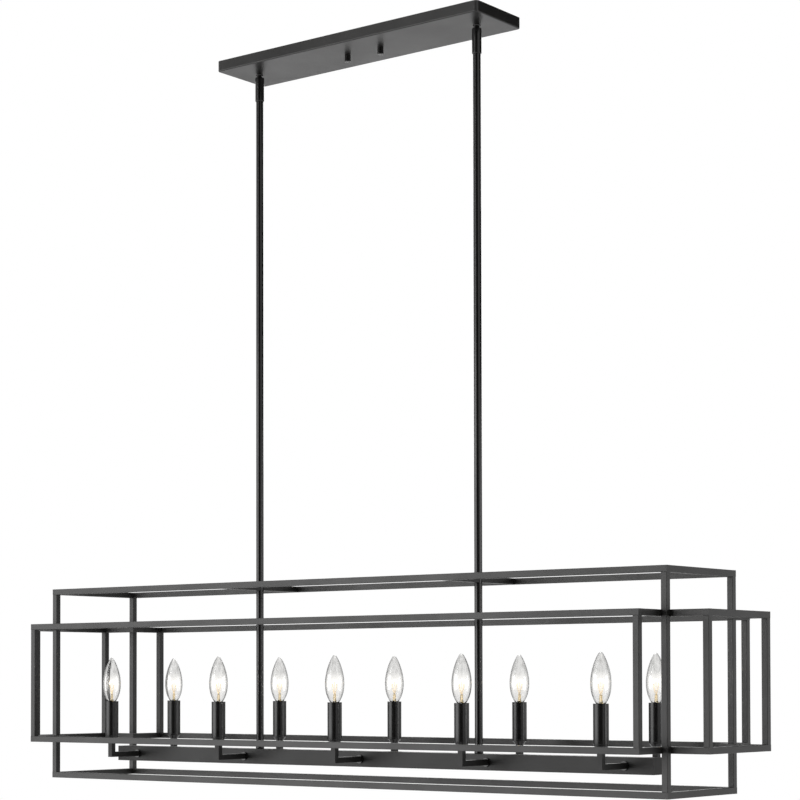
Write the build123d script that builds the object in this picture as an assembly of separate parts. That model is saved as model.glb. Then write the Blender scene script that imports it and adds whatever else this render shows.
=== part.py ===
from build123d import *
import math
import os

os.makedirs("parts", exist_ok=True)

# Linear island pendant. Z up, origin on the ceiling plane at the centre of the canopy,
# X along the pendant, Y across it. All sizes in millimetres.

# Hanging height, from the ceiling to the underside of the tall frame
overall_drop = 1238.0

# Canopy pan
canopy_length = 550.0
canopy_width = 122.0
canopy_height = 18.0
canopy_wall = 1.5
canopy_corner = 6.0
canopy_edge = 2.0

# Mounting strap under the outlet box, with the studs that carry the canopy
strap_length = 114.0
strap_width = 20.0
strap_thickness = 2.0
box_screw_spacing = 88.9
box_slot_length = 12.0
box_slot_radius = 2.4
stud_spacing = 70.0
stud_radius = 2.1
stud_projection = 9.0
cap_nut_radius = 5.0
cap_nut_height = 11.5
cap_nut_edge = 1.2

# Ball swivels
ball_radius = 7.0
ball_lift = 3.2
ball_clearance = 0.2
ball_neck_radius = 3.5
ball_flare_radius = 4.2
seat_radius = 12.0
coupler_radius = 7.75
coupler_length = 42.0
coupler_gap = 4.5
coupler_edge = 2.0
thread_depth = 10.0

# Rods and the nuts that hold them to the bar
rod_spacing = 462.0
rod_radius = 6.35
rod_bore_radius = 2.6
rod_thread_radius = 5.0
collar_radius = 7.1
collar_height = 5.0
rod_nut_flats = 15.0
rod_nut_height = 5.0

# Square bar that both frames are welded from
stock = 10.0
stock_edge = 0.7

# Tall frame: an open box round the lamps
frame_length = 1274.0
frame_width = 204.0
frame_height = 337.5

# Ring frame: a plus in plan, its inner corners against the tall frame's posts
ring_end_reach = 63.0
ring_side_reach = 61.5
ring_height = 208.0
ring_rise = 65.5

# Wiring bar: a web with two sides, closed from below by a cover
bar_length = 1120.0
bar_size = 26.0
bar_wall = 1.5
bar_rise = 30.0

# Arms
arm_count = 5
arm_pitch = 255.0
arm_reach = 79.0
arm_size = 9.0
arm_rise = 25.0
arm_bore_radius = 2.6
arm_thread_radius = 3.8
arm_thread_length = 5.0
rosette_radius = 7.0
rosette_height = 3.0
arm_nut_flats = 12.0
arm_nut_height = 3.0

# Candle cups, sleeves and candelabra sockets
cup_taper_height = 6.0
cup_taper_radius = 10.5
cup_neck_radius = 6.4
cup_rim_height = 2.5
cup_rim_radius = 12.0
sleeve_radius = 11.7
sleeve_wall = 1.2
sleeve_length = 60.5
socket_radius = 9.0
socket_recess = 4.5
socket_thread_radius = 6.1
socket_thread_depth = 21.0

# Torpedo bulb with a candelabra screw base, its heights above the sleeve
bulb_radius = 15.9
bulb_height = 77.0
bulb_belly = 31.0
bulb_waist_height = 63.0
bulb_waist_radius = 8.2
bulb_tip_radius = 2.4
bulb_tip_angle = 34.0
bulb_glass = 0.8
bulb_root_radius = 6.9
bulb_neck_radius = 5.6
bulb_neck_depth = 3.0
bulb_shoulder_depth = 1.0
shell_radius = 6.0
shell_wall = 0.3
shell_length = 18.5
contact_radius = 2.2
contact_height = 1.6
stem_radius = 3.0
stem_length = 24.0
filament_radius = 1.3
filament_length = 30.0

# Leads
lead_radius = 1.4
trunk_radius = 2.5
canopy_lead_side = 16.0
canopy_lead_depth = 3.6
connector_radius = 4.5
connector_length = 16.0

# Clearances
fit_clearance = 0.05
hole_clearance = 0.2
lead_clearance = 0.1
rest_clearance = 0.2

# Levels and spans that follow from the sizes above
canopy_underside = -canopy_height
connector_level = canopy_underside + canopy_wall + connector_radius + rest_clearance
swing_level = canopy_underside + ball_lift
coupler_top = canopy_underside - coupler_gap
coupler_bottom = coupler_top - coupler_length
frame_bottom = -overall_drop
frame_top = frame_bottom + frame_height
ring_bottom = frame_bottom + ring_rise
ring_top = ring_bottom + ring_height
bar_bottom = frame_bottom + bar_rise
bar_top = bar_bottom + bar_size
bar_inner = bar_size / 2 - bar_wall
arm_level = bar_bottom + bar_size / 2
arm_top = arm_level + arm_rise
cup_bottom = arm_top
cup_top = cup_bottom + cup_taper_height + cup_rim_height
sleeve_top = cup_top + sleeve_length
socket_top = sleeve_top - socket_recess
collar_top = bar_top + collar_height
ring_length = frame_length + 2 * ring_end_reach
ring_width = frame_width + 2 * ring_side_reach
ring_side_length = frame_length - 2 * stock
ring_end_width = frame_width - 2 * stock
rod_places = [-rod_spacing / 2, rod_spacing / 2]
lamp_places = [(i - (arm_count - 1) / 2) * arm_pitch for i in range(arm_count)]
signs = (-1, 1)


def block(x0, x1, y0, y1, z0, z1):
    """Box between two opposite corners, given in either order."""
    centre = Pos((x0 + x1) / 2, (y0 + y1) / 2, (z0 + z1) / 2)
    return centre * Box(abs(x1 - x0), abs(y1 - y0), abs(z1 - z0))


def bar_piece(x0, x1, y0, y1, z0, z1, along):
    """Length of square bar with its long edges eased."""
    piece = block(x0, x1, y0, y1, z0, z1)
    return fillet(piece.edges().filter_by(along), stock_edge)


def upright(radius, x, y, z0, z1):
    """Cylinder standing on z0."""
    return Pos(x, y, (z0 + z1) / 2) * Cylinder(radius, z1 - z0)


def across(radius, x, z, y0, y1):
    """Cylinder lying along Y."""
    return Pos(x, (y0 + y1) / 2, z) * Rot(90, 0, 0) * Cylinder(radius, abs(y1 - y0))


def hexagon(flats, height):
    """Hexagonal prism centred on the origin."""
    outline = RegularPolygon(flats / 2, 6, major_radius=False)
    return Pos(0, 0, -height / 2) * extrude(outline, height)


def rounded_slab(length, width, z0, z1, corner):
    """Slab with rounded upright corners."""
    return Pos(0, 0, z0) * extrude(RectangleRounded(length, width, corner), z1 - z0)


def write(name, solids):
    """One STEP file for one node."""
    export_step(Compound(children=list(solids)), f"parts/{name}.step")


# Ceiling side

def make_strap():
    strap = block(-strap_length / 2, strap_length / 2, -strap_width / 2, strap_width / 2,
                  -strap_thickness, 0)
    for side in signs:
        slot = extrude(SlotOverall(box_slot_length, 2 * box_slot_radius), strap_thickness)
        strap -= Pos(side * box_screw_spacing / 2, 0, -strap_thickness) * slot
        strap -= upright(stud_radius + fit_clearance, side * stud_spacing / 2, 0, -strap_thickness, 0)
    return strap


def make_stud(side):
    return upright(stud_radius, side * stud_spacing / 2, 0, canopy_underside - stud_projection, 0)


def make_cap_nut(side):
    x = side * stud_spacing / 2
    nut = upright(cap_nut_radius, x, 0, canopy_underside - cap_nut_height, canopy_underside)
    nut = fillet(nut.edges().filter_by(GeomType.CIRCLE).sort_by(Axis.Z)[0], cap_nut_edge)
    thread_end = canopy_underside - stud_projection - hole_clearance
    return nut - upright(stud_radius + fit_clearance, x, 0, thread_end, canopy_underside)


def make_canopy():
    pan = rounded_slab(canopy_length, canopy_width, canopy_underside, 0, canopy_corner)
    pan = fillet(pan.faces().sort_by(Axis.Z)[0].edges(), canopy_edge)
    pan -= rounded_slab(canopy_length - 2 * canopy_wall, canopy_width - 2 * canopy_wall,
                        canopy_underside + canopy_wall, 0, canopy_corner - canopy_wall)
    for side in signs:
        pan -= upright(stud_radius + hole_clearance, side * stud_spacing / 2, 0, canopy_underside, 0)
    for x in rod_places:
        pan -= Pos(x, 0, swing_level) * Sphere(ball_radius + ball_clearance)
    return pan


def make_seat(x):
    seat = upright(seat_radius, x, 0, canopy_underside + canopy_wall, swing_level)
    return seat - Pos(x, 0, swing_level) * Sphere(ball_radius + ball_clearance)


def make_canopy_lead(side):
    start = swing_level + ball_radius + 2 * ball_clearance
    route = FilletPolyline(
        (side * rod_spacing / 2, 0, start),
        (side * rod_spacing / 2, 0, -canopy_lead_depth),
        (side * rod_spacing / 4, canopy_lead_side, connector_level),
        (side * (stud_spacing + connector_length) / 2, canopy_lead_side, connector_level),
        radius=1.6 * lead_radius)
    end = Plane(origin=route @ 0, z_dir=route % 0)
    return sweep(end * Circle(lead_radius), path=route)


def make_connector(side):
    centre = Pos(side * stud_spacing / 2, canopy_lead_side, connector_level)
    return centre * Rot(0, 90, 0) * Cylinder(connector_radius, connector_length)


# Swivels and rods

def make_ball(x):
    neck_end = coupler_top - thread_depth
    ball = Pos(x, 0, swing_level) * Sphere(ball_radius)
    ball += upright(ball_neck_radius, x, 0, neck_end, swing_level)
    ball -= upright(lead_radius + 0.5, x, 0, neck_end, swing_level + ball_radius)
    flare_height = ball_radius
    flare = Cone(lead_radius + 0.5, ball_flare_radius, flare_height)
    return ball - Pos(x, 0, swing_level + flare_height / 2) * flare


def make_coupler(x):
    coupler = upright(coupler_radius, x, 0, coupler_bottom, coupler_top)
    coupler = fillet(coupler.edges().filter_by(GeomType.CIRCLE), coupler_edge)
    coupler -= upright(rod_bore_radius, x, 0, coupler_bottom, coupler_top)
    coupler -= upright(ball_neck_radius + fit_clearance, x, 0, coupler_top - thread_depth, coupler_top)
    return coupler - upright(rod_thread_radius + fit_clearance, x, 0,
                             coupler_bottom, coupler_bottom + thread_depth)


def make_rod(x):
    rod = upright(rod_radius, x, 0, collar_top, coupler_bottom)
    rod += upright(rod_thread_radius, x, 0, coupler_bottom, coupler_bottom + thread_depth)
    rod += upright(rod_thread_radius, x, 0, bar_top - bar_wall - rod_nut_height, collar_top)
    return rod - upright(rod_bore_radius, x, 0, frame_bottom, 0)


def make_collar(x):
    collar = upright(collar_radius, x, 0, bar_top, collar_top)
    collar = fillet(collar.edges().filter_by(GeomType.CIRCLE), collar_height / 5)
    return collar - upright(rod_thread_radius + fit_clearance, x, 0, bar_top, collar_top)


def make_rod_nut(x):
    nut = Pos(x, 0, bar_top - bar_wall - rod_nut_height / 2) * hexagon(rod_nut_flats, rod_nut_height)
    return nut - upright(rod_thread_radius + fit_clearance, x, 0, bar_bottom, bar_top)


def make_rod_lead(x):
    return upright(lead_radius, x, 0, arm_level + trunk_radius + lead_clearance,
                   swing_level + ball_neck_radius)


# Tall frame

def frame_long_rails(level):
    """Front and back rails along X, their undersides at the given level."""
    for side in signs:
        outer = side * frame_width / 2
        yield bar_piece(-frame_length / 2, frame_length / 2, outer - side * stock, outer,
                        level, level + stock, Axis.X)


def frame_end_rails(level):
    """Left and right rails along Y, between the long rails."""
    reach = frame_width / 2 - stock
    for side in signs:
        outer = side * frame_length / 2
        yield bar_piece(outer - side * stock, outer, -reach, reach, level, level + stock, Axis.Y)


def frame_posts():
    for side in signs:
        for face in signs:
            x = side * frame_length / 2
            y = face * frame_width / 2
            yield bar_piece(x - side * stock, x, y - face * stock, y,
                            frame_bottom + stock, frame_top - stock, Axis.Z)


def hanger_bars():
    """Short bars from the top rails to the rods, their ends coped round the rod."""
    level = frame_top - stock
    for x in rod_places:
        for face in signs:
            piece = bar_piece(x - stock / 2, x + stock / 2, 0, face * (frame_width / 2 - stock),
                              level, frame_top, Axis.Y)
            yield piece - upright(rod_radius + fit_clearance, x, 0, level, frame_top)


# Ring frame

def ring_side_rails(level):
    """Long rails of the wide middle, front and back."""
    for face in signs:
        outer = face * ring_width / 2
        yield bar_piece(-ring_side_length / 2, ring_side_length / 2, outer - face * stock, outer,
                        level, level + stock, Axis.X)


def ring_end_rails(level):
    """Rails that close the two narrow ends."""
    reach = ring_end_width / 2 - stock
    for side in signs:
        outer = side * ring_length / 2
        yield bar_piece(outer - side * stock, outer, -reach, reach, level, level + stock, Axis.Y)


def ring_notch_rails(level):
    """Short rails of the four inner corners, which hug the tall frame's posts."""
    for side in signs:
        for face in signs:
            x = side * ring_side_length / 2
            y = face * ring_end_width / 2
            yield bar_piece(x - side * stock, x, y - face * stock, face * (ring_width / 2 - stock),
                            level, level + stock, Axis.Y)
            yield bar_piece(x, side * ring_length / 2, y - face * stock, y,
                            level, level + stock, Axis.X)


def ring_posts(half_length, half_width):
    for side in signs:
        for face in signs:
            x = side * half_length
            y = face * half_width
            yield bar_piece(x - side * stock, x, y - face * stock, y,
                            ring_bottom + stock, ring_top - stock, Axis.Z)


# Wiring bar

def make_bar():
    half = bar_length / 2
    bar = bar_piece(-half, half, -bar_size / 2, bar_size / 2, bar_bottom, bar_top, Axis.X)
    bar -= block(-half, half, -bar_inner, bar_inner, bar_bottom, bar_top - bar_wall)
    for x in rod_places:
        bar -= upright(rod_thread_radius + fit_clearance, x, 0, bar_top - bar_wall, bar_top)
    for x in lamp_places:
        bar -= across(arm_thread_radius + fit_clearance, x, arm_level, -bar_size, bar_size)
    return bar


def bar_web():
    half = bar_length / 2
    return make_bar() & block(-half, half, -bar_size, bar_size, bar_top - bar_wall, bar_top)


def bar_side(side):
    half = bar_length / 2
    return make_bar() & block(-half, half, side * bar_inner, side * bar_size,
                              bar_bottom, bar_top - bar_wall)


def make_bar_cover():
    half = bar_length / 2 - bar_wall
    return block(-half, half, -bar_inner, bar_inner, bar_bottom, bar_bottom + bar_wall)


def make_bar_cap(side):
    outer = side * bar_length / 2
    return block(outer - side * bar_wall, outer, -bar_inner, bar_inner,
                 bar_bottom, bar_top - bar_wall)


def make_trunk():
    half = lamp_places[-1] + arm_bore_radius
    return Pos(0, 0, arm_level) * Rot(0, 90, 0) * Cylinder(trunk_radius, 2 * half)


# Arms

def arm_outline(points, x):
    """Square tube from an outline in the YZ plane."""
    outline = Polygon(*points, align=None)
    return Pos(x, 0, 0) * extrude(Plane.YZ * outline, arm_size / 2, both=True)


def arm_bore(x, face):
    """Wire way along the run and up the upright."""
    y = face * arm_reach
    bore = across(arm_bore_radius, x, arm_level, 0, y)
    bore += upright(arm_bore_radius, x, y, arm_level, arm_top)
    return bore + Pos(x, y, arm_level) * Sphere(arm_bore_radius)


def make_arm_run(x, face):
    """Level half of an arm, mitred at its outer end, with the thread that enters the bar."""
    root = face * bar_size / 2
    half = arm_size / 2
    outer = face * (arm_reach + half)
    inner = face * (arm_reach - half)
    run = arm_outline([(root, arm_level - half), (outer, arm_level - half),
                       (inner, arm_level + half), (root, arm_level + half)], x)
    run += across(arm_thread_radius, x, arm_level, root, root - face * arm_thread_length)
    return run - arm_bore(x, face)


def make_arm_upright(x, face):
    """Upright half of an arm, mitred at its foot."""
    half = arm_size / 2
    outer = face * (arm_reach + half)
    inner = face * (arm_reach - half)
    post = arm_outline([(outer, arm_level - half), (outer, arm_top),
                        (inner, arm_top), (inner, arm_level + half)], x)
    return post - arm_bore(x, face)


def make_rosette(x, face):
    root = face * bar_size / 2
    ring = across(rosette_radius, x, arm_level, root, root + face * rosette_height)
    hole = arm_size / 2 + fit_clearance
    return ring - block(x - hole, x + hole, root, root + face * rosette_height,
                        arm_level - hole, arm_level + hole)


def make_arm_nut(x, face):
    seat = face * bar_inner
    centre = Pos(x, seat - face * arm_nut_height / 2, arm_level)
    nut = centre * Rot(90, 0, 0) * hexagon(arm_nut_flats, arm_nut_height)
    return nut - across(arm_thread_radius + fit_clearance, x, arm_level, seat, 0)


def make_arm_lead(x, face):
    y = face * arm_reach
    start = face * (trunk_radius + lead_clearance)
    route = FilletPolyline((x, start, arm_level), (x, y, arm_level), (x, y, cup_top),
                           radius=1.5 * lead_radius)
    end = Plane(origin=route @ 0, z_dir=route % 0)
    return sweep(end * Circle(lead_radius), path=route)


# Lamps

def make_cup(x, y):
    taper = Cone(cup_neck_radius, cup_taper_radius, cup_taper_height)
    cup = Pos(x, y, cup_bottom + cup_taper_height / 2) * taper
    rim = upright(cup_rim_radius, x, y, cup_top - cup_rim_height, cup_top)
    cup += fillet(rim.edges().filter_by(GeomType.CIRCLE), cup_rim_height / 4)
    return cup - upright(arm_bore_radius, x, y, cup_bottom, cup_top)


def make_socket(x, y):
    body = upright(socket_radius, x, y, cup_top, socket_top)
    body -= upright(socket_thread_radius, x, y, socket_top - socket_thread_depth, socket_top)
    return body - upright(arm_bore_radius, x, y, cup_top, socket_top)


def make_sleeve(x, y):
    tube = upright(sleeve_radius, x, y, cup_top, sleeve_top)
    return tube - upright(sleeve_radius - sleeve_wall, x, y, cup_top, sleeve_top)


def bulb_section(inset):
    """Half outline of the bulb, level 0 at the sleeve's top, drawn in by the glass thickness."""
    neck = bulb_neck_radius - inset
    root = bulb_root_radius - inset
    belly = bulb_radius - inset
    waist = bulb_waist_radius - inset
    tip = bulb_tip_radius - inset
    top = bulb_height - inset
    lean = math.radians(bulb_tip_angle)
    halfway = (lean + math.pi / 2) / 2
    tip_start = (tip * math.cos(lean), top - tip + tip * math.sin(lean))
    tip_middle = (tip * math.cos(halfway), top - tip + tip * math.sin(halfway))
    lower = Spline((root, 0), (belly, bulb_belly), tangents=[(0.55, 1), (0, 1)])
    upper = Spline((belly, bulb_belly), (waist, bulb_waist_height), tip_start,
                   tangents=[(0, 1), (-math.sin(lean), math.cos(lean))])
    edges = [Line((0, -bulb_neck_depth), (neck, -bulb_neck_depth)),
             Line((neck, -bulb_neck_depth), (neck, -bulb_shoulder_depth)),
             Line((neck, -bulb_shoulder_depth), (root, 0)),
             lower, upper, ThreePointArc(tip_start, tip_middle, (0, top)),
             Line((0, top), (0, -bulb_neck_depth))]
    return make_face(Curve() + edges)


def make_glass(x, y):
    outer = revolve(Plane.XZ * bulb_section(0), Axis.Z)
    inner = revolve(Plane.XZ * bulb_section(bulb_glass), Axis.Z)
    return Pos(x, y, sleeve_top) * (outer - inner)


def make_bulb_base(x, y):
    """Screw shell with its contact, then the stem and the filament that stand on it."""
    rim = sleeve_top - bulb_shoulder_depth - hole_clearance
    foot = rim - shell_length
    shell = upright(shell_radius, x, y, foot, rim)
    shell -= upright(shell_radius - shell_wall, x, y, foot + shell_wall, rim)
    shell += upright(contact_radius, x, y, foot - contact_height, foot + shell_wall)
    stem_top = foot + shell_wall + stem_length
    stem = Pos(x, y, stem_top - stem_length / 2) * Cone(stem_radius, stem_radius / 2, stem_length)
    filament = upright(filament_radius, x, y, stem_top, stem_top + filament_length)
    return [shell, stem, filament]


def write_lamps():
    places = [(x, face * arm_reach, face) for face in signs for x in lamp_places]
    write("arm_runs", [make_arm_run(x, face) for x, y, face in places])
    write("arm_uprights", [make_arm_upright(x, face) for x, y, face in places])
    write("arm_rosettes", [make_rosette(x, face) for x, y, face in places])
    write("arm_nuts", [make_arm_nut(x, face) for x, y, face in places])
    write("arm_leads", [make_arm_lead(x, face) for x, y, face in places])
    write("candle_cups", [make_cup(x, y) for x, y, face in places])
    write("lamp_sockets", [make_socket(x, y) for x, y, face in places])
    write("candle_sleeves", [make_sleeve(x, y) for x, y, face in places])
    for face in signs:
        row = "front" if face < 0 else "back"
        for number, x in enumerate(lamp_places, start=1):
            write(f"bulb_glass_{row}_{number}", [make_glass(x, face * arm_reach)])
            write(f"bulb_base_{row}_{number}", make_bulb_base(x, face * arm_reach))


write("mounting_strap", [make_strap()])
write("canopy_studs", [make_stud(side) for side in signs])
write("canopy", [make_canopy()])
write("cap_nuts", [make_cap_nut(side) for side in signs])
write("swivel_seats", [make_seat(x) for x in rod_places])
write("canopy_leads", [make_canopy_lead(side) for side in signs])
write("wire_connectors", [make_connector(side) for side in signs])
write("swivel_balls", [make_ball(x) for x in rod_places])
write("swivel_couplers", [make_coupler(x) for x in rod_places])
write("rods", [make_rod(x) for x in rod_places])
write("rod_collars", [make_collar(x) for x in rod_places])
write("rod_nuts", [make_rod_nut(x) for x in rod_places])
write("rod_leads", [make_rod_lead(x) for x in rod_places])
write("frame_hangers", hanger_bars())
write("frame_top_rails", frame_long_rails(frame_top - stock))
write("frame_top_end_rails", frame_end_rails(frame_top - stock))
write("frame_bottom_rails", frame_long_rails(frame_bottom))
write("frame_bottom_end_rails", frame_end_rails(frame_bottom))
write("frame_posts", frame_posts())
write("ring_top_side_rails", ring_side_rails(ring_top - stock))
write("ring_top_end_rails", ring_end_rails(ring_top - stock))
write("ring_top_notch_rails", ring_notch_rails(ring_top - stock))
write("ring_bottom_side_rails", ring_side_rails(ring_bottom))
write("ring_bottom_end_rails", ring_end_rails(ring_bottom))
write("ring_bottom_notch_rails", ring_notch_rails(ring_bottom))
write("ring_side_posts", ring_posts(ring_side_length / 2, ring_width / 2))
write("ring_end_posts", ring_posts(ring_length / 2, ring_end_width / 2))
write("bar_web", [bar_web()])
write("bar_sides", [bar_side(side) for side in signs])
write("bar_cover", [make_bar_cover()])
write("bar_end_caps", [make_bar_cap(side) for side in signs])
write("bar_trunk_lead", [make_trunk()])
write_lamps()
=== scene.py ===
import bpy
import math
from mathutils import Matrix, Vector


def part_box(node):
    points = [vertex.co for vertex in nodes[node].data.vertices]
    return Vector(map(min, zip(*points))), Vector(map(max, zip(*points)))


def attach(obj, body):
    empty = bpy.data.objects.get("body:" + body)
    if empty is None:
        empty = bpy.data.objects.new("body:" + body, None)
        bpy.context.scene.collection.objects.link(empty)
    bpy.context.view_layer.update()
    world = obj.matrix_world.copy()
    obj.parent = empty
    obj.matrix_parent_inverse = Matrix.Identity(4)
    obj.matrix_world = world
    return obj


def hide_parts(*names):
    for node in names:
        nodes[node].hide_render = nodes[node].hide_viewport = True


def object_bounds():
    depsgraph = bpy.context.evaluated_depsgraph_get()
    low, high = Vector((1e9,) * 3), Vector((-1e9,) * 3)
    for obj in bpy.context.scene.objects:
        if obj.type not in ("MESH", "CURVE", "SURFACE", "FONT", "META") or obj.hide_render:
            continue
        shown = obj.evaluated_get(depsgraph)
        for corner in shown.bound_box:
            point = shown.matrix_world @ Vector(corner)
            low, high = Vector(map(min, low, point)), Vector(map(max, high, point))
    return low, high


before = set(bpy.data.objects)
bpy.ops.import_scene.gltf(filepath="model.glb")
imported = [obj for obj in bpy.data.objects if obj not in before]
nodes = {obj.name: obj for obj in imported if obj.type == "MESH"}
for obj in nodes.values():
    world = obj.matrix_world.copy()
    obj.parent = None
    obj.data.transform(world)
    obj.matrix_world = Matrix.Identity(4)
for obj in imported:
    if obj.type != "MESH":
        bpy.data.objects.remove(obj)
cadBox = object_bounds()
rows = ("front", "back")
lampNumbers = range(1, 6)
print("frame loaded:", len(nodes), "nodes")


# Modelling steps

def deselectAll():
    if bpy.context.object and bpy.context.object.mode != "OBJECT":
        bpy.ops.object.mode_set(mode="OBJECT")
    bpy.ops.object.select_all(action="DESELECT")


def selectOnly(obj):
    deselectAll()
    obj.select_set(True)
    bpy.context.view_layer.objects.active = obj


def applyModifiers(obj):
    selectOnly(obj)
    for modifier in list(obj.modifiers):
        bpy.ops.object.modifier_apply(modifier=modifier.name)


def ringStack(name, profile, sides, closeTop=False, closeFoot=False):
    # a circle pulled up ring by ring; profile is a list of (radius, height)
    deselectAll()
    radius, level = profile[0]
    bpy.ops.mesh.primitive_circle_add(vertices=sides, radius=radius, location=(0, 0, level))
    obj = bpy.context.object
    obj.name = name
    bpy.ops.object.transform_apply(location=True, rotation=True, scale=True)
    bpy.ops.object.mode_set(mode="EDIT")
    bpy.ops.mesh.select_all(action="SELECT")
    if closeFoot:
        bpy.ops.mesh.edge_face_add()
    for nextRadius, nextLevel in profile[1:]:
        bpy.ops.mesh.extrude_region_move(
            TRANSFORM_OT_translate={"value": (0, 0, nextLevel - level)})
        grow = nextRadius / radius
        bpy.ops.transform.resize(value=(grow, grow, 1), center_override=(0, 0, nextLevel))
        radius, level = nextRadius, nextLevel
    if closeTop:
        bpy.ops.mesh.merge(type="CENTER")
    bpy.ops.mesh.select_all(action="SELECT")
    bpy.ops.mesh.normals_make_consistent(inside=False)
    bpy.ops.object.mode_set(mode="OBJECT")
    return obj


def smoothOnce(obj):
    smooth = obj.modifiers.new("smooth", "SUBSURF")
    smooth.levels = 1
    smooth.render_levels = 1
    applyModifiers(obj)
    bpy.ops.object.shade_smooth()


def wireMesh(name, paths, radius, sides=3):
    # thin wires along lists of points, made solid
    curve = bpy.data.curves.new(name, "CURVE")
    curve.dimensions = "3D"
    curve.bevel_depth = radius
    curve.bevel_resolution = sides
    curve.use_fill_caps = True
    for path in paths:
        spline = curve.splines.new("POLY")
        spline.points.add(len(path) - 1)
        for point, place in zip(spline.points, path):
            point.co = (*place, 1)
    obj = bpy.data.objects.new(name, curve)
    bpy.context.scene.collection.objects.link(obj)
    selectOnly(obj)
    bpy.ops.object.convert(target="MESH")
    return bpy.context.object


def placeCopy(template, name, place, body, stands=()):
    # a copy with its own mesh, its place in the mesh
    copy = bpy.data.objects.new(name, template.data.copy())
    bpy.context.scene.collection.objects.link(copy)
    copy.data.transform(Matrix.Translation(place))
    copy.data.update()
    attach(copy, body)
    if stands:
        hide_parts(*stands)
    return copy


# Finishes

def newMaterial(name):
    material = bpy.data.materials.new(name)
    material.use_nodes = True
    tree = material.node_tree
    tree.nodes.clear()
    output = tree.nodes.new("ShaderNodeOutputMaterial")
    shader = tree.nodes.new("ShaderNodeBsdfPrincipled")
    tree.links.new(shader.outputs["BSDF"], output.inputs["Surface"])
    return material, tree, shader


coatGrain = {
    "grainDetail": 3, "grainRough": 0.55, "driftDetail": 4, "driftRough": 0.6,
    "specksPerGrain": 1.7, "speckCore": 0.05, "speckEdge": 0.16,
}


def makeCoatGroup():
    # fine grain, broad drift and faint speckle of a sprayed or moulded surface
    group = bpy.data.node_groups.new("coatSurface", "ShaderNodeTree")
    for name, kind in (("Vector", "NodeSocketVector"), ("Grain Scale", "NodeSocketFloat"),
                       ("Drift Scale", "NodeSocketFloat")):
        group.interface.new_socket(name=name, in_out="INPUT", socket_type=kind)
    for name in ("Grain", "Drift", "Speckle"):
        group.interface.new_socket(name=name, in_out="OUTPUT", socket_type="NodeSocketFloat")
    start = group.nodes.new("NodeGroupInput")
    end = group.nodes.new("NodeGroupOutput")
    grain = group.nodes.new("ShaderNodeTexNoise")
    grain.inputs["Detail"].default_value = coatGrain["grainDetail"]
    grain.inputs["Roughness"].default_value = coatGrain["grainRough"]
    drift = group.nodes.new("ShaderNodeTexNoise")
    drift.inputs["Detail"].default_value = coatGrain["driftDetail"]
    drift.inputs["Roughness"].default_value = coatGrain["driftRough"]
    cells = group.nodes.new("ShaderNodeTexVoronoi")
    cells.inputs["Randomness"].default_value = 1
    finer = group.nodes.new("ShaderNodeMath")
    finer.operation = "MULTIPLY"
    finer.inputs[1].default_value = coatGrain["specksPerGrain"]
    speckle = group.nodes.new("ShaderNodeMapRange")
    speckle.inputs["From Min"].default_value = coatGrain["speckCore"]
    speckle.inputs["From Max"].default_value = coatGrain["speckEdge"]
    speckle.inputs["To Min"].default_value = 1
    speckle.inputs["To Max"].default_value = 0
    link = group.links.new
    link(start.outputs["Vector"], grain.inputs["Vector"])
    link(start.outputs["Vector"], drift.inputs["Vector"])
    link(start.outputs["Vector"], cells.inputs["Vector"])
    link(start.outputs["Grain Scale"], grain.inputs["Scale"])
    link(start.outputs["Drift Scale"], drift.inputs["Scale"])
    link(start.outputs["Grain Scale"], finer.inputs[0])
    link(finer.outputs[0], cells.inputs["Scale"])
    link(cells.outputs["Distance"], speckle.inputs["Value"])
    link(grain.outputs["Fac"], end.inputs["Grain"])
    link(drift.outputs["Fac"], end.inputs["Drift"])
    link(speckle.outputs["Result"], end.inputs["Speckle"])
    return group


coatGroup = makeCoatGroup()


def surfaceNodes(tree, look):
    coords = tree.nodes.new("ShaderNodeTexCoord")
    mapping = tree.nodes.new("ShaderNodeMapping")
    mapping.inputs["Scale"].default_value = look.get("stretch", (1, 1, 1))
    surface = tree.nodes.new("ShaderNodeGroup")
    surface.node_tree = coatGroup
    surface.inputs["Grain Scale"].default_value = look["grainScale"]
    surface.inputs["Drift Scale"].default_value = look["driftScale"]
    tree.links.new(coords.outputs["Object"], mapping.inputs["Vector"])
    tree.links.new(mapping.outputs["Vector"], surface.inputs["Vector"])
    return surface


def ramped(tree, value, fromMin, fromMax, toMin=0, toMax=1, smooth=False):
    ramp = tree.nodes.new("ShaderNodeMapRange")
    if smooth:
        ramp.interpolation_type = "SMOOTHSTEP"
    for name, number in (("From Min", fromMin), ("From Max", fromMax),
                         ("To Min", toMin), ("To Max", toMax)):
        ramp.inputs[name].default_value = number
    tree.links.new(value, ramp.inputs["Value"])
    return ramp.outputs["Result"]


def combined(tree, operation, first, second):
    node = tree.nodes.new("ShaderNodeMath")
    node.operation = operation
    for socket, value in zip(node.inputs, (first, second)):
        if isinstance(value, (int, float)):
            socket.default_value = value
        else:
            tree.links.new(value, socket)
    return node.outputs[0]


def mixColours(tree, factor, low, high):
    # low is a colour or what another mix gives
    mix = tree.nodes.new("ShaderNodeMix")
    mix.data_type = "RGBA"
    if isinstance(low, tuple):
        mix.inputs["A"].default_value = (*low, 1)
    else:
        tree.links.new(low, mix.inputs["A"])
    mix.inputs["B"].default_value = (*high, 1)
    tree.links.new(factor, mix.inputs["Factor"])
    return mix.outputs["Result"]


noiseSpan = (0.3, 0.7)   # where nearly all of a noise's values lie


def spread(tree, value, low, high):
    return ramped(tree, value, *noiseSpan, low, high)


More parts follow.
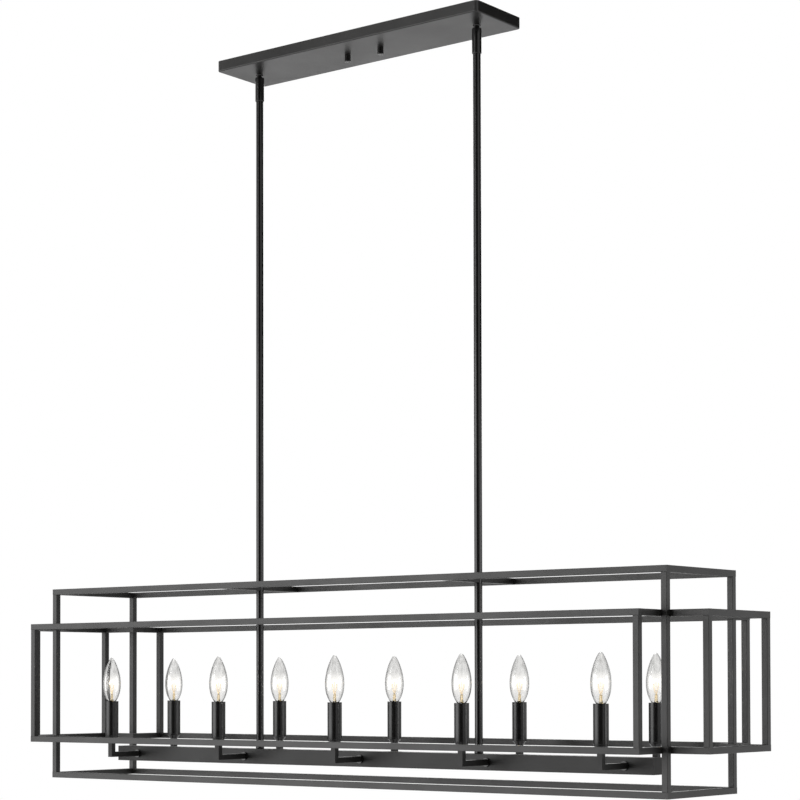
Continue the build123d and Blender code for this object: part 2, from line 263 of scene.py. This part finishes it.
def coated(name, look):
    # paint, plate or moulding: colour drift, speckle, uneven gloss and grain
    material, tree, shader = newMaterial(name)
    surface = surfaceNodes(tree, look)
    drift = mixColours(tree, spread(tree, surface.outputs["Drift"], 0, 1),
                       look["dark"], look["light"])
    amount = combined(tree, "MULTIPLY", surface.outputs["Speckle"], look["speckleAmount"])
    dust = mixColours(tree, amount, drift, look["speckle"])
    tree.links.new(dust, shader.inputs["Base Color"])
    rough = spread(tree, surface.outputs["Drift"], look["roughLow"], look["roughHigh"])
    tree.links.new(rough, shader.inputs["Roughness"])
    bump = tree.nodes.new("ShaderNodeBump")
    bump.inputs["Strength"].default_value = look["bump"]
    bump.inputs["Distance"].default_value = look["bumpHeight"]
    tree.links.new(surface.outputs["Grain"], bump.inputs["Height"])
    tree.links.new(bump.outputs["Normal"], shader.inputs["Normal"])
    shader.inputs["Metallic"].default_value = look.get("metallic", 0)
    shader.inputs["Specular IOR Level"].default_value = look.get("specular", 0.5)
    return material


coats = {
    "blackCoat": {
        "dark": (0.0095, 0.0090, 0.0085), "light": (0.0140, 0.0134, 0.0126),
        "speckle": (0.05, 0.048, 0.045), "speckleAmount": 0.2,
        "roughLow": 0.33, "roughHigh": 0.43, "grainScale": 900, "driftScale": 14,
        "bump": 0.14, "bumpHeight": 0.0003, "specular": 0.4,
    },
    "canopyCoat": {
        "dark": (0.0110, 0.0105, 0.0100), "light": (0.0160, 0.0154, 0.0146),
        "speckle": (0.05, 0.048, 0.045), "speckleAmount": 0.15,
        "roughLow": 0.34, "roughHigh": 0.42, "grainScale": 800, "driftScale": 9,
        "bump": 0.10, "bumpHeight": 0.0003, "specular": 0.44,
    },
    # painted shade: a darker, less glossy copy of the black coat for the bar and the arms
    "barShadedCoat": {
        "dark": (0.0085, 0.0082, 0.0078), "light": (0.0125, 0.0120, 0.0114),
        "speckle": (0.04, 0.038, 0.036), "speckleAmount": 0.15,
        "roughLow": 0.38, "roughHigh": 0.46, "grainScale": 850, "driftScale": 12,
        "bump": 0.10, "bumpHeight": 0.0003, "specular": 0.3,
    },
    "rodCoat": {
        "dark": (0.0060, 0.0057, 0.0054), "light": (0.0095, 0.0090, 0.0086),
        "speckle": (0.03, 0.029, 0.027), "speckleAmount": 0.2,
        "roughLow": 0.13, "roughHigh": 0.19, "grainScale": 1100, "driftScale": 18,
        "bump": 0.03, "bumpHeight": 0.0002, "stretch": (1, 1, 0.4), "specular": 0.45,
    },
    "sleeveCoat": {
        "dark": (0.0060, 0.0057, 0.0054), "light": (0.0090, 0.0086, 0.0082),
        "speckle": (0.03, 0.029, 0.027), "speckleAmount": 0.15,
        "roughLow": 0.20, "roughHigh": 0.27, "grainScale": 1000, "driftScale": 40,
        "bump": 0.05, "bumpHeight": 0.0002, "specular": 0.42,
    },
    "fittingCoat": {
        "dark": (0.0055, 0.0052, 0.0049), "light": (0.0085, 0.0082, 0.0078),
        "speckle": (0.03, 0.029, 0.027), "speckleAmount": 0.15,
        "roughLow": 0.15, "roughHigh": 0.22, "grainScale": 1300, "driftScale": 60,
        "bump": 0.04, "bumpHeight": 0.0002, "specular": 0.4,
    },
    "zincPlate": {
        "dark": (0.50, 0.50, 0.49), "light": (0.66, 0.66, 0.64),
        "speckle": (0.4, 0.38, 0.33), "speckleAmount": 0.2,
        "roughLow": 0.28, "roughHigh": 0.42, "grainScale": 500, "driftScale": 60,
        "bump": 0.15, "bumpHeight": 0.0002, "metallic": 1, "stretch": (0.15, 1, 1),
    },
    "shellBrass": {
        "dark": (0.62, 0.53, 0.33), "light": (0.74, 0.66, 0.45),
        "speckle": (0.45, 0.36, 0.2), "speckleAmount": 0.2,
        "roughLow": 0.18, "roughHigh": 0.32, "grainScale": 900, "driftScale": 120,
        "bump": 0.08, "bumpHeight": 0.0001, "metallic": 1,
    },
    "leadJacket": {
        "dark": (0.012, 0.012, 0.012), "light": (0.022, 0.022, 0.022),
        "speckle": (0.06, 0.06, 0.06), "speckleAmount": 0.1,
        "roughLow": 0.3, "roughHigh": 0.42, "grainScale": 900, "driftScale": 50,
        "bump": 0.05, "bumpHeight": 0.0001,
    },
    "connectorPlastic": {
        "dark": (0.60, 0.17, 0.03), "light": (0.70, 0.23, 0.05),
        "speckle": (0.8, 0.4, 0.15), "speckleAmount": 0.1,
        "roughLow": 0.35, "roughHigh": 0.5, "grainScale": 700, "driftScale": 80,
        "bump": 0.1, "bumpHeight": 0.0002,
    },
    "socketPlastic": {
        "dark": (0.030, 0.028, 0.026), "light": (0.045, 0.042, 0.040),
        "speckle": (0.09, 0.08, 0.07), "speckleAmount": 0.2,
        "roughLow": 0.4, "roughHigh": 0.55, "grainScale": 700, "driftScale": 70,
        "bump": 0.12, "bumpHeight": 0.0002,
    },
}
finishes = {name: coated(name, look) for name, look in coats.items()}

nodeFinish = {
    # every other node has blackCoat
    "canopyCoat": ("canopy", "swivel_seats"),
    "barShadedCoat": ("bar_web", "bar_sides", "bar_cover", "bar_end_caps", "arm_runs", "arm_uprights"),
    "rodCoat": ("rods",),
    "sleeveCoat": ("candle_sleeves",),
    "fittingCoat": ("cap_nuts", "swivel_balls", "swivel_couplers", "rod_collars",
                    "arm_rosettes", "candle_cups"),
    "zincPlate": ("mounting_strap", "canopy_studs", "rod_nuts", "arm_nuts"),
    "leadJacket": ("canopy_leads", "rod_leads", "bar_trunk_lead", "arm_leads"),
    "connectorPlastic": ("wire_connectors",),
    "socketPlastic": ("lamp_sockets",),
}


def dressNodes():
    chosen = {node: finish for finish, members in nodeFinish.items() for node in members}
    for name, obj in nodes.items():
        finish = finishes[chosen.get(name, "blackCoat")]
        obj.data.materials.clear()
        obj.data.materials.append(finish)


dressNodes()
print("finishes on the frame nodes")


# Bulbs

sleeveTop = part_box("candle_sleeves")[1].z

bulbGlassLook = {
    # rim is painted shade towards the glass outline; streak is a painted reflection of the studio
    # lamps near the tip
    "middle": (0.885, 0.882, 0.875), "rim": (0.24, 0.24, 0.235), "reflectionStreak": (0.60, 0.60, 0.59),
    "rimFrom": 0.26, "rimTo": 0.80,
    "reflectionStreakScale": 260, "reflectionStreakDetail": 2, "reflectionStreakStretch": (1, 1, 0.16),
    "reflectionStreakFrom": 0.44, "reflectionStreakTo": 0.66, "reflectionStreakAmount": 0.55,
    # heights over the sleeve
    "reflectionStreakFoot": 0.036, "reflectionStreakFull": 0.056, "paintedGlowHeight": 0.031, "paintedGlowReach": 0.022,
    # glow is painted light: the glass itself glows round the filament's height
    "glow": (1.0, 0.96, 0.88), "paintedGlowEdge": 0.45, "paintedGlowStrength": 0.085, "ior": 1.45,
}
# the stem's warm colour is a painted reflection of the shell's brass and painted filament light
# seen through its glass; its rim is painted shade
stemGlassLook = dict(bulbGlassLook, middle=(0.95, 0.82, 0.55), rim=(0.62, 0.44, 0.20))
glowLook = {
    "colour": (1.0, 0.72, 0.38), "hot": (1.0, 0.84, 0.58), "strength": 9, "heatScale": 300,
    "metal": (0.2, 0.19, 0.18), "rough": 0.5,
}
wireLook = {
    "colour": (0.78, 0.56, 0.26), "light": (0.90, 0.72, 0.42), "scuffScale": 900,
    "roughLow": 0.22, "roughHigh": 0.4,
}


def clearGlass(name, look, paintsGlow):
    # clear glass, with painted shade towards its outline, painted reflection streaks near the tip
    # and a painted glow round the filament's height
    material, tree, shader = newMaterial(name)
    coords = tree.nodes.new("ShaderNodeTexCoord")
    # painted shade: the facing ramp darkens the glass towards its outline
    facing = tree.nodes.new("ShaderNodeLayerWeight")
    facing.inputs["Blend"].default_value = 0.5
    rim = ramped(tree, facing.outputs["Facing"], look["rimFrom"], look["rimTo"], smooth=True)
    height = tree.nodes.new("ShaderNodeSeparateXYZ")
    tree.links.new(coords.outputs["Object"], height.inputs[0])
    # painted reflection: stretched noise streaks the glass, only near its tip
    stretch = tree.nodes.new("ShaderNodeMapping")
    stretch.inputs["Scale"].default_value = look["reflectionStreakStretch"]
    reflectionStreak = tree.nodes.new("ShaderNodeTexNoise")
    reflectionStreak.inputs["Scale"].default_value = look["reflectionStreakScale"]
    reflectionStreak.inputs["Detail"].default_value = look["reflectionStreakDetail"]
    tree.links.new(coords.outputs["Object"], stretch.inputs["Vector"])
    tree.links.new(stretch.outputs["Vector"], reflectionStreak.inputs["Vector"])
    upper = ramped(tree, height.outputs["Z"], sleeveTop + look["reflectionStreakFoot"],
                   sleeveTop + look["reflectionStreakFull"], smooth=True)
    reflectionLines = ramped(tree, reflectionStreak.outputs["Fac"], look["reflectionStreakFrom"], look["reflectionStreakTo"])
    tipReflectionLines = combined(tree, "MULTIPLY", reflectionLines, upper)
    amount = combined(tree, "MULTIPLY", tipReflectionLines, look["reflectionStreakAmount"])
    clear = mixColours(tree, amount, look["middle"], look["reflectionStreak"])
    tree.links.new(mixColours(tree, rim, clear, look["rim"]), shader.inputs["Base Color"])
    if paintsGlow:
        # painted light: the glass glows most at the filament's height and towards the middle of
        # its outline
        offset = combined(tree, "SUBTRACT", height.outputs["Z"], sleeveTop + look["paintedGlowHeight"])
        away = combined(tree, "ABSOLUTE", offset, 0)
        near = ramped(tree, away, 0, look["paintedGlowReach"], 1, 0, smooth=True)
        inner = ramped(tree, facing.outputs["Facing"], 0, look["paintedGlowEdge"], 1, 0, smooth=True)
        glow = mixColours(tree, combined(tree, "MULTIPLY", near, inner), (0, 0, 0), look["glow"])
        tree.links.new(glow, shader.inputs["Emission Color"])
        shader.inputs["Emission Strength"].default_value = look["paintedGlowStrength"]
    shader.inputs["Roughness"].default_value = 0
    shader.inputs["IOR"].default_value = look["ior"]
    shader.inputs["Transmission Weight"].default_value = 1
    return material


def objectNoise(tree, scale):
    coords = tree.nodes.new("ShaderNodeTexCoord")
    noise = tree.nodes.new("ShaderNodeTexNoise")
    noise.inputs["Scale"].default_value = scale
    tree.links.new(coords.outputs["Object"], noise.inputs["Vector"])
    return noise.outputs["Fac"]


def glowingTungsten():
    material, tree, shader = newMaterial("glowingTungsten")
    heat = objectNoise(tree, glowLook["heatScale"])
    tint = mixColours(tree, heat, glowLook["colour"], glowLook["hot"])
    tree.links.new(tint, shader.inputs["Emission Color"])
    shader.inputs["Base Color"].default_value = (*glowLook["metal"], 1)
    shader.inputs["Emission Strength"].default_value = glowLook["strength"]
    shader.inputs["Roughness"].default_value = glowLook["rough"]
    return material


def copperedWire():
    material, tree, shader = newMaterial("copperedWire")
    scuff = objectNoise(tree, wireLook["scuffScale"])
    rough = spread(tree, scuff, wireLook["roughLow"], wireLook["roughHigh"])
    tint = mixColours(tree, scuff, wireLook["colour"], wireLook["light"])
    tree.links.new(rough, shader.inputs["Roughness"])
    tree.links.new(tint, shader.inputs["Base Color"])
    shader.inputs["Metallic"].default_value = 1
    return material


finishes["bulbGlass"] = clearGlass("bulbGlass", bulbGlassLook, paintsGlow=True)
finishes["stemGlass"] = clearGlass("stemGlass", stemGlassLook, paintsGlow=False)
finishes["glow"] = glowingTungsten()
finishes["wire"] = copperedWire()

bulbSize = {
    # radii and heights over the sleeve, from the foot in the screw shell to the tip
    "neckRadius": 0.0056, "neckFoot": -0.003, "shoulder": -0.001,
    "rootRadius": 0.0079, "root": 0.0004, "flare": 0.62,
    "belly": 0.031, "tipRadius": 0.0034, "tipLean": 36,
    "lowHandle": 0.0105, "highHandle": 0.017, "tipHandle": 0.010,
    "lowSteps": 8, "highSteps": 14, "tipSteps": 4, "tipOpen": 0.4, "wall": 0.0007, "sides": 40,
}
glassLow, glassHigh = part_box("bulb_glass_front_1")
bulbRadius = (glassHigh.x - glassLow.x) / 2
bulbLength = glassHigh.z - sleeveTop


def curveRun(start, startHandle, endHandle, end, steps):
    # points of one smooth run, without its start
    run = []
    for step in range(1, steps + 1):
        t = step / steps
        weights = ((1 - t) ** 3, 3 * (1 - t) ** 2 * t, 3 * (1 - t) * t ** 2, t ** 3)
        corners = (start, startHandle, endHandle, end)
        run.append(tuple(sum(w * c[i] for w, c in zip(weights, corners)) for i in (0, 1)))
    return run


def bulbOutline():
    # narrow foot in the screw shell, widest low down, long taper to a small round tip
    size = bulbSize
    lean = math.radians(size["tipLean"])
    tip = size["tipRadius"]
    root = (size["rootRadius"], size["root"])
    belly = (bulbRadius, size["belly"])
    taperEnd = (tip * math.cos(lean), bulbLength - tip * (1 - math.sin(lean)))
    points = [(size["neckRadius"], size["neckFoot"]), (size["neckRadius"], size["shoulder"]), root]
    low, high, lip = size["lowHandle"], size["highHandle"], size["tipHandle"]
    points += curveRun(root, (root[0] + size["flare"] * low, root[1] + low),
                       (bulbRadius, size["belly"] - low), belly, size["lowSteps"])
    points += curveRun(belly, (bulbRadius, size["belly"] + high),
                       (taperEnd[0] + math.sin(lean) * lip, taperEnd[1] - math.cos(lean) * lip),
                       taperEnd, size["highSteps"])
    for step in range(1, size["tipSteps"] + 1):
        share = step / (size["tipSteps"] + size["tipOpen"])
        angle = lean + (math.pi / 2 - lean) * share
        points.append((tip * math.cos(angle), bulbLength - tip * (1 - math.sin(angle))))
    return points


def makeBulbGlass():
    glass = ringStack("bulbGlassMaster", bulbOutline(), bulbSize["sides"], closeTop=True)
    wall = glass.modifiers.new("wall", "SOLIDIFY")
    wall.thickness = bulbSize["wall"]
    wall.offset = -1
    smoothOnce(glass)
    glass.data.materials.append(finishes["bulbGlass"])
    return glass


shellSize = {
    "ridges": 5, "depth": 0.0005, "pitch": 0.00254, "firstRidge": 0.25, "threadFoot": 0.0032,
    # radii and heights over the foot
    "contact": ((0.0022, 0), (0.0024, 0.0012)), "insulator": ((0.0034, 0.0016), (0.0048, 0.0028)),
    # one ridge: depths in from the full radius and pitches up
    "ridge": ((1.6, 0), (0.3, 0.28), (0.3, 0.45), (1.6, 0.7)),
    "rimDepth": 0.0012, "rimBand": 0.0026, "wall": 0.0003, "sides": 36, "crease": 50,
    "darkFrom": 0.0013, "darkMargin": 0.0001,
}


def makeScrewShell():
    # threaded brass shell, dark insulator under it and the centre contact
    low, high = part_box("bulb_base_front_1")
    radius = (high.x - low.x) / 2
    foot = low.z - sleeveTop
    rim = -shellSize["rimDepth"]
    pitch, depth = shellSize["pitch"], shellSize["depth"]
    start = foot + shellSize["threadFoot"]
    profile = [(across, foot + height)
               for across, height in shellSize["contact"] + shellSize["insulator"]]
    profile.append((radius - 2 * depth, start))
    for ridge in range(shellSize["ridges"]):
        level = start + pitch * (ridge + shellSize["firstRidge"])
        for inward, upward in shellSize["ridge"]:
            profile.append((radius - depth * inward, level + pitch * upward))
    profile.append((radius, rim - shellSize["rimBand"]))
    profile.append((radius, rim))
    shell = ringStack("screwShellMaster", profile, shellSize["sides"], closeFoot=True)
    wall = shell.modifiers.new("wall", "SOLIDIFY")
    wall.thickness = shellSize["wall"]
    wall.offset = -1
    applyModifiers(shell)
    bpy.ops.object.shade_smooth_by_angle(angle=math.radians(shellSize["crease"]))
    shell.data.materials.append(finishes["shellBrass"])
    shell.data.materials.append(finishes["socketPlastic"])
    for face in shell.data.polygons:
        level = face.center.z
        if foot + shellSize["darkFrom"] < level < start - shellSize["darkMargin"]:
            face.material_index = 1
    return shell


stemSize = {
    # radii and heights over the sleeve
    "profile": ((0.0046, -0.003), (0.0040, -0.0015), (0.0027, 0.001), (0.0021, 0.005),
                (0.0020, 0.009), (0.0021, 0.0115), (0.0018, 0.0128), (0.0009, 0.0135)),
    "sides": 20, "pinchFrom": 0.0075, "pinch": (1.35, 0.5, 1), "pinchLevel": 0.01,
}


def makeStem():
    # flared glass tube, pinched flat at its top round the lead-in wires
    stem = ringStack("bulbStemMaster", stemSize["profile"], stemSize["sides"],
                     closeTop=True, closeFoot=True)
    selectOnly(stem)
    bpy.ops.object.mode_set(mode="EDIT")
    bpy.ops.mesh.select_mode(type="VERT")
    bpy.ops.object.mode_set(mode="OBJECT")
    for vert in stem.data.vertices:
        vert.select = vert.co.z > stemSize["pinchFrom"]
    bpy.ops.object.mode_set(mode="EDIT")
    bpy.ops.transform.resize(value=stemSize["pinch"],
                             center_override=(0, 0, stemSize["pinchLevel"]))
    bpy.ops.object.mode_set(mode="OBJECT")
    smoothOnce(stem)
    stem.data.materials.append(finishes["stemGlass"])
    return stem


filamentSize = {
    "spread": 0.0052, "level": 0.030, "rise": 0.0042, "sway": 0.0016, "coil": 0.00042,
    "turns": 46, "stepsPerTurn": 6, "ahead": 0.01, "wire": 0.00013,
}
leadSize = {
    # the two lead-ins: half their gap and the height over the sleeve
    "bends": ((0.0010, 0.004), (0.0012, 0.0125), (0.0026, 0.017)),
    "endBelow": 0.002, "endAbove": 0.0006,
    # the hooks that carry the coil, at shares of its length
    "hooks": (0.25, 0.5, 0.75), "hookFan": 0.0004, "hookFoot": 0.0125, "hookKnee": 0.021,
    "hookBelow": 0.0004, "hookAbove": 0.0007, "wire": 0.0003,
}


def filamentArch(share):
    # the coil's middle line: up, across the supports and down again
    across = filamentSize["spread"] * math.cos(math.pi * share)
    height = filamentSize["level"] + filamentSize["rise"] * math.sin(math.pi * share)
    sway = filamentSize["sway"] * math.sin(2 * math.pi * share)
    return Vector((across, sway, height))


def makeFilament():
    steps = filamentSize["turns"] * filamentSize["stepsPerTurn"]
    step, coil = filamentSize["ahead"], filamentSize["coil"]
    points = []
    for count in range(steps + 1):
        share = count / steps
        after, before = filamentArch(min(share + step, 1)), filamentArch(max(share - step, 0))
        ahead = (after - before).normalized()
        side = ahead.cross(Vector((0, 1, 0))).normalized()
        lift = ahead.cross(side).normalized()
        turn = 2 * math.pi * filamentSize["turns"] * share
        points.append(filamentArch(share) + coil * (math.cos(turn) * side + math.sin(turn) * lift))
    filament = wireMesh("filamentMaster", [points], filamentSize["wire"], sides=0)
    filament.data.materials.append(finishes["glow"])
    return filament


def makeLeadIns():
    size = leadSize
    reach, level = filamentSize["spread"], filamentSize["level"]
    paths = []
    for side in (-1, 1):
        bends = [(side * gap, 0, height) for gap, height in size["bends"]]
        paths.append(bends + [(side * reach, 0, level - size["endBelow"]),
                              (side * reach, 0, level + size["endAbove"])])
    for share in size["hooks"]:
        hook = filamentArch(share)
        paths.append([(size["hookFan"] * (share - 0.5), 0, size["hookFoot"]),
                      (hook.x / 2, hook.y / 2, size["hookKnee"]),
                      (hook.x, hook.y, hook.z - size["hookBelow"]),
                      (hook.x, hook.y, hook.z + size["hookAbove"])])
    wires = wireMesh("leadInMaster", paths, size["wire"], sides=1)
    wires.data.materials.append(finishes["wire"])
    return wires


def makeBulbs():
    masters = {
        "bulbGlass": makeBulbGlass(), "screwShell": makeScrewShell(), "bulbStem": makeStem(),
        "filament": makeFilament(), "leadIns": makeLeadIns(),
    }
    for row in rows:
        for number in lampNumbers:
            lamp = f"{row}_{number}"
            low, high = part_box(f"bulb_glass_{lamp}")
            place = Vector(((low.x + high.x) / 2, (low.y + high.y) / 2, sleeveTop))
            glass = placeCopy(masters["bulbGlass"], f"bulbGlass_{lamp}", place,
                              f"bulb_{lamp}_lift", [f"bulb_glass_{lamp}"])
            placeCopy(masters["screwShell"], f"screwShell_{lamp}", place,
                      f"bulb_{lamp}_turn", [f"bulb_base_{lamp}"])
            stem = placeCopy(masters["bulbStem"], f"bulbStem_{lamp}", place,
                             f"bulb_{lamp}_turn")
            for clear in (glass, stem):
                clear.visible_shadow = False
                clear.visible_diffuse = False
            for part in ("filament", "leadIns"):
                placeCopy(masters[part], f"{part}_{lamp}", place, f"bulb_{lamp}_turn")
    for master in masters.values():
        bpy.data.objects.remove(master)


makeBulbs()
print("bulbs made")


# Camera, as fitted to the photograph's box edges

viewpoint = {
    "place": (2.2342, -2.7951, 0.16845),   # from the frame's underside
    "turn": 37.707, "tilt": 1.4085, "roll": -0.1168,
    "lens": 97.336, "lift": 0.28698, "sensor": 36, "farClip": 100,
}


def makeCamera():
    data = bpy.data.cameras.new("camera")
    camera = bpy.data.objects.new("camera", data)
    bpy.context.scene.collection.objects.link(camera)
    x, y, z = viewpoint["place"]
    camera.location = (x, y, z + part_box("frame_bottom_rails")[0].z)
    turn = Matrix.Rotation(math.radians(viewpoint["turn"]), 3, "Z")
    tilt = Matrix.Rotation(math.radians(90 + viewpoint["tilt"]), 3, "X")
    roll = Matrix.Rotation(math.radians(viewpoint["roll"]), 3, "Z")
    camera.rotation_euler = (turn @ tilt @ roll).to_euler()
    data.sensor_width = viewpoint["sensor"]
    data.lens = viewpoint["lens"]
    data.shift_y = viewpoint["lift"]
    data.clip_end = viewpoint["farClip"]
    bpy.context.scene.camera = camera


makeCamera()


# Studio: pale floor, white surround, soft lamps

studio = {"floorDrop": 0.75, "floorSize": 14, "floorColour": (0.86, 0.86, 0.86),
          "floorWhite": 0.75, "worldLight": 0.45, "felt": (0.01, 0.01, 0.01), "aimLevel": -1.05}


def cameraLike(tree):
    # 1 for what the camera sees directly, in gloss or through glass
    path = tree.nodes.new("ShaderNodeLightPath")
    seen = combined(tree, "MAXIMUM", path.outputs["Is Camera Ray"], path.outputs["Is Glossy Ray"])
    return combined(tree, "MAXIMUM", seen, path.outputs["Is Transmission Ray"])


def makeWorld():
    world = bpy.data.worlds.new("studioWhite")
    world.use_nodes = True
    bpy.context.scene.world = world
    tree = world.node_tree
    tree.nodes.clear()
    output = tree.nodes.new("ShaderNodeOutputWorld")
    seen = tree.nodes.new("ShaderNodeBackground")
    light = tree.nodes.new("ShaderNodeBackground")
    light.inputs["Strength"].default_value = studio["worldLight"]
    mix = tree.nodes.new("ShaderNodeMixShader")
    seen.inputs["Color"].default_value = (1, 1, 1, 1)
    light.inputs["Color"].default_value = (1, 1, 1, 1)
    tree.links.new(cameraLike(tree), mix.inputs["Fac"])
    tree.links.new(light.outputs[0], mix.inputs[1])
    tree.links.new(seen.outputs[0], mix.inputs[2])
    tree.links.new(mix.outputs[0], output.inputs["Surface"])


def makeFloor():
    deselectAll()
    level = cadBox[0].z - studio["floorDrop"]
    bpy.ops.mesh.primitive_plane_add(size=studio["floorSize"], location=(0, 0, level))
    floor = bpy.context.object
    floor.name = "studioFloor"
    material = bpy.data.materials.new("floorPaper")
    material.use_nodes = True
    tree = material.node_tree
    tree.nodes.clear()
    output = tree.nodes.new("ShaderNodeOutputMaterial")
    paper = tree.nodes.new("ShaderNodeBsdfDiffuse")
    paper.inputs["Color"].default_value = (*studio["floorColour"], 1)
    white = tree.nodes.new("ShaderNodeEmission")
    share = combined(tree, "MULTIPLY", cameraLike(tree), studio["floorWhite"])
    mix = tree.nodes.new("ShaderNodeMixShader")
    tree.links.new(share, mix.inputs["Fac"])
    tree.links.new(paper.outputs[0], mix.inputs[1])
    tree.links.new(white.outputs[0], mix.inputs[2])
    tree.links.new(mix.outputs[0], output.inputs["Surface"])
    floor.data.materials.append(material)


flags = {
    # black cards out of the picture; each stands at a bearing round the object and faces it
    "right": {"bearing": 52, "distance": 3.2, "width": 4.4, "height": 3.0, "level": 1.3},
    "highLeft": {"bearing": -118, "distance": 3.4, "width": 2.6, "height": 2.0, "level": 1.6},
    "lens": {"bearing": -60, "distance": 5.0, "width": 5.0, "height": 4.4, "level": -0.2},
    "backLeft": {"bearing": 160, "distance": 4.0, "width": 2.4, "height": 3.0, "level": -0.9},
    "backRight": {"bearing": 96, "distance": 4.0, "width": 2.4, "height": 3.0, "level": -0.9},
}


def makeFlags():
    felt = bpy.data.materials.new("flagFelt")
    felt.use_nodes = True
    cloth = felt.node_tree.nodes["Principled BSDF"]
    cloth.inputs["Base Color"].default_value = (*studio["felt"], 1)
    cloth.inputs["Roughness"].default_value = 1
    cloth.inputs["Specular IOR Level"].default_value = 0
    for name, flag in flags.items():
        deselectAll()
        bearing = math.radians(flag["bearing"])
        place = (flag["distance"] * math.cos(bearing), flag["distance"] * math.sin(bearing),
                 flag["level"])
        bpy.ops.mesh.primitive_plane_add(size=1, location=place,
                                         rotation=(math.pi / 2, 0, bearing + math.pi / 2))
        card = bpy.context.object
        card.name = name + "Flag"
        card.scale = (flag["width"], flag["height"], 1)
        card.data.materials.append(felt)
        card.visible_camera = False
        card.visible_transmission = False
        card.visible_shadow = False


lamps = {
    # all turned to the frames; the two strips draw the light lines on rods and sleeves
    "softLeft": {"place": (-2.0, -2.87, -1.05), "size": 3.0, "tall": 2.1, "watts": 58},
    "softTop": {"place": (0.4, -0.6, 2.2), "size": 2.0, "watts": 30},
    "softBack": {"place": (-1.8, 2.8, 0.4), "size": 1.6, "watts": 20},
    "rodStrip": {"place": (-1.25, -2.95, 0.5), "size": 0.4, "tall": 1.7, "watts": 9},
    "sleeveStrip": {"place": (3.08, 0.88, -1.05), "size": 0.6, "tall": 1.2, "watts": 9},
}


def makeLamps():
    target = Vector((0, 0, studio["aimLevel"]))
    for name, lamp in lamps.items():
        data = bpy.data.lights.new(name, "AREA")
        data.shape = "RECTANGLE"
        data.size = lamp["size"]
        data.size_y = lamp.get("tall", lamp["size"])
        data.energy = lamp["watts"]
        obj = bpy.data.objects.new(name, data)
        bpy.context.scene.collection.objects.link(obj)
        obj.location = lamp["place"]
        aim = target - Vector(lamp["place"])
        obj.rotation_euler = aim.to_track_quat("-Z", "Y").to_euler()


def makeStudio():
    makeWorld()
    makeFloor()
    makeFlags()
    makeLamps()
    bpy.context.scene.view_settings.view_transform = "Standard"


makeStudio()
print("camera and studio set")
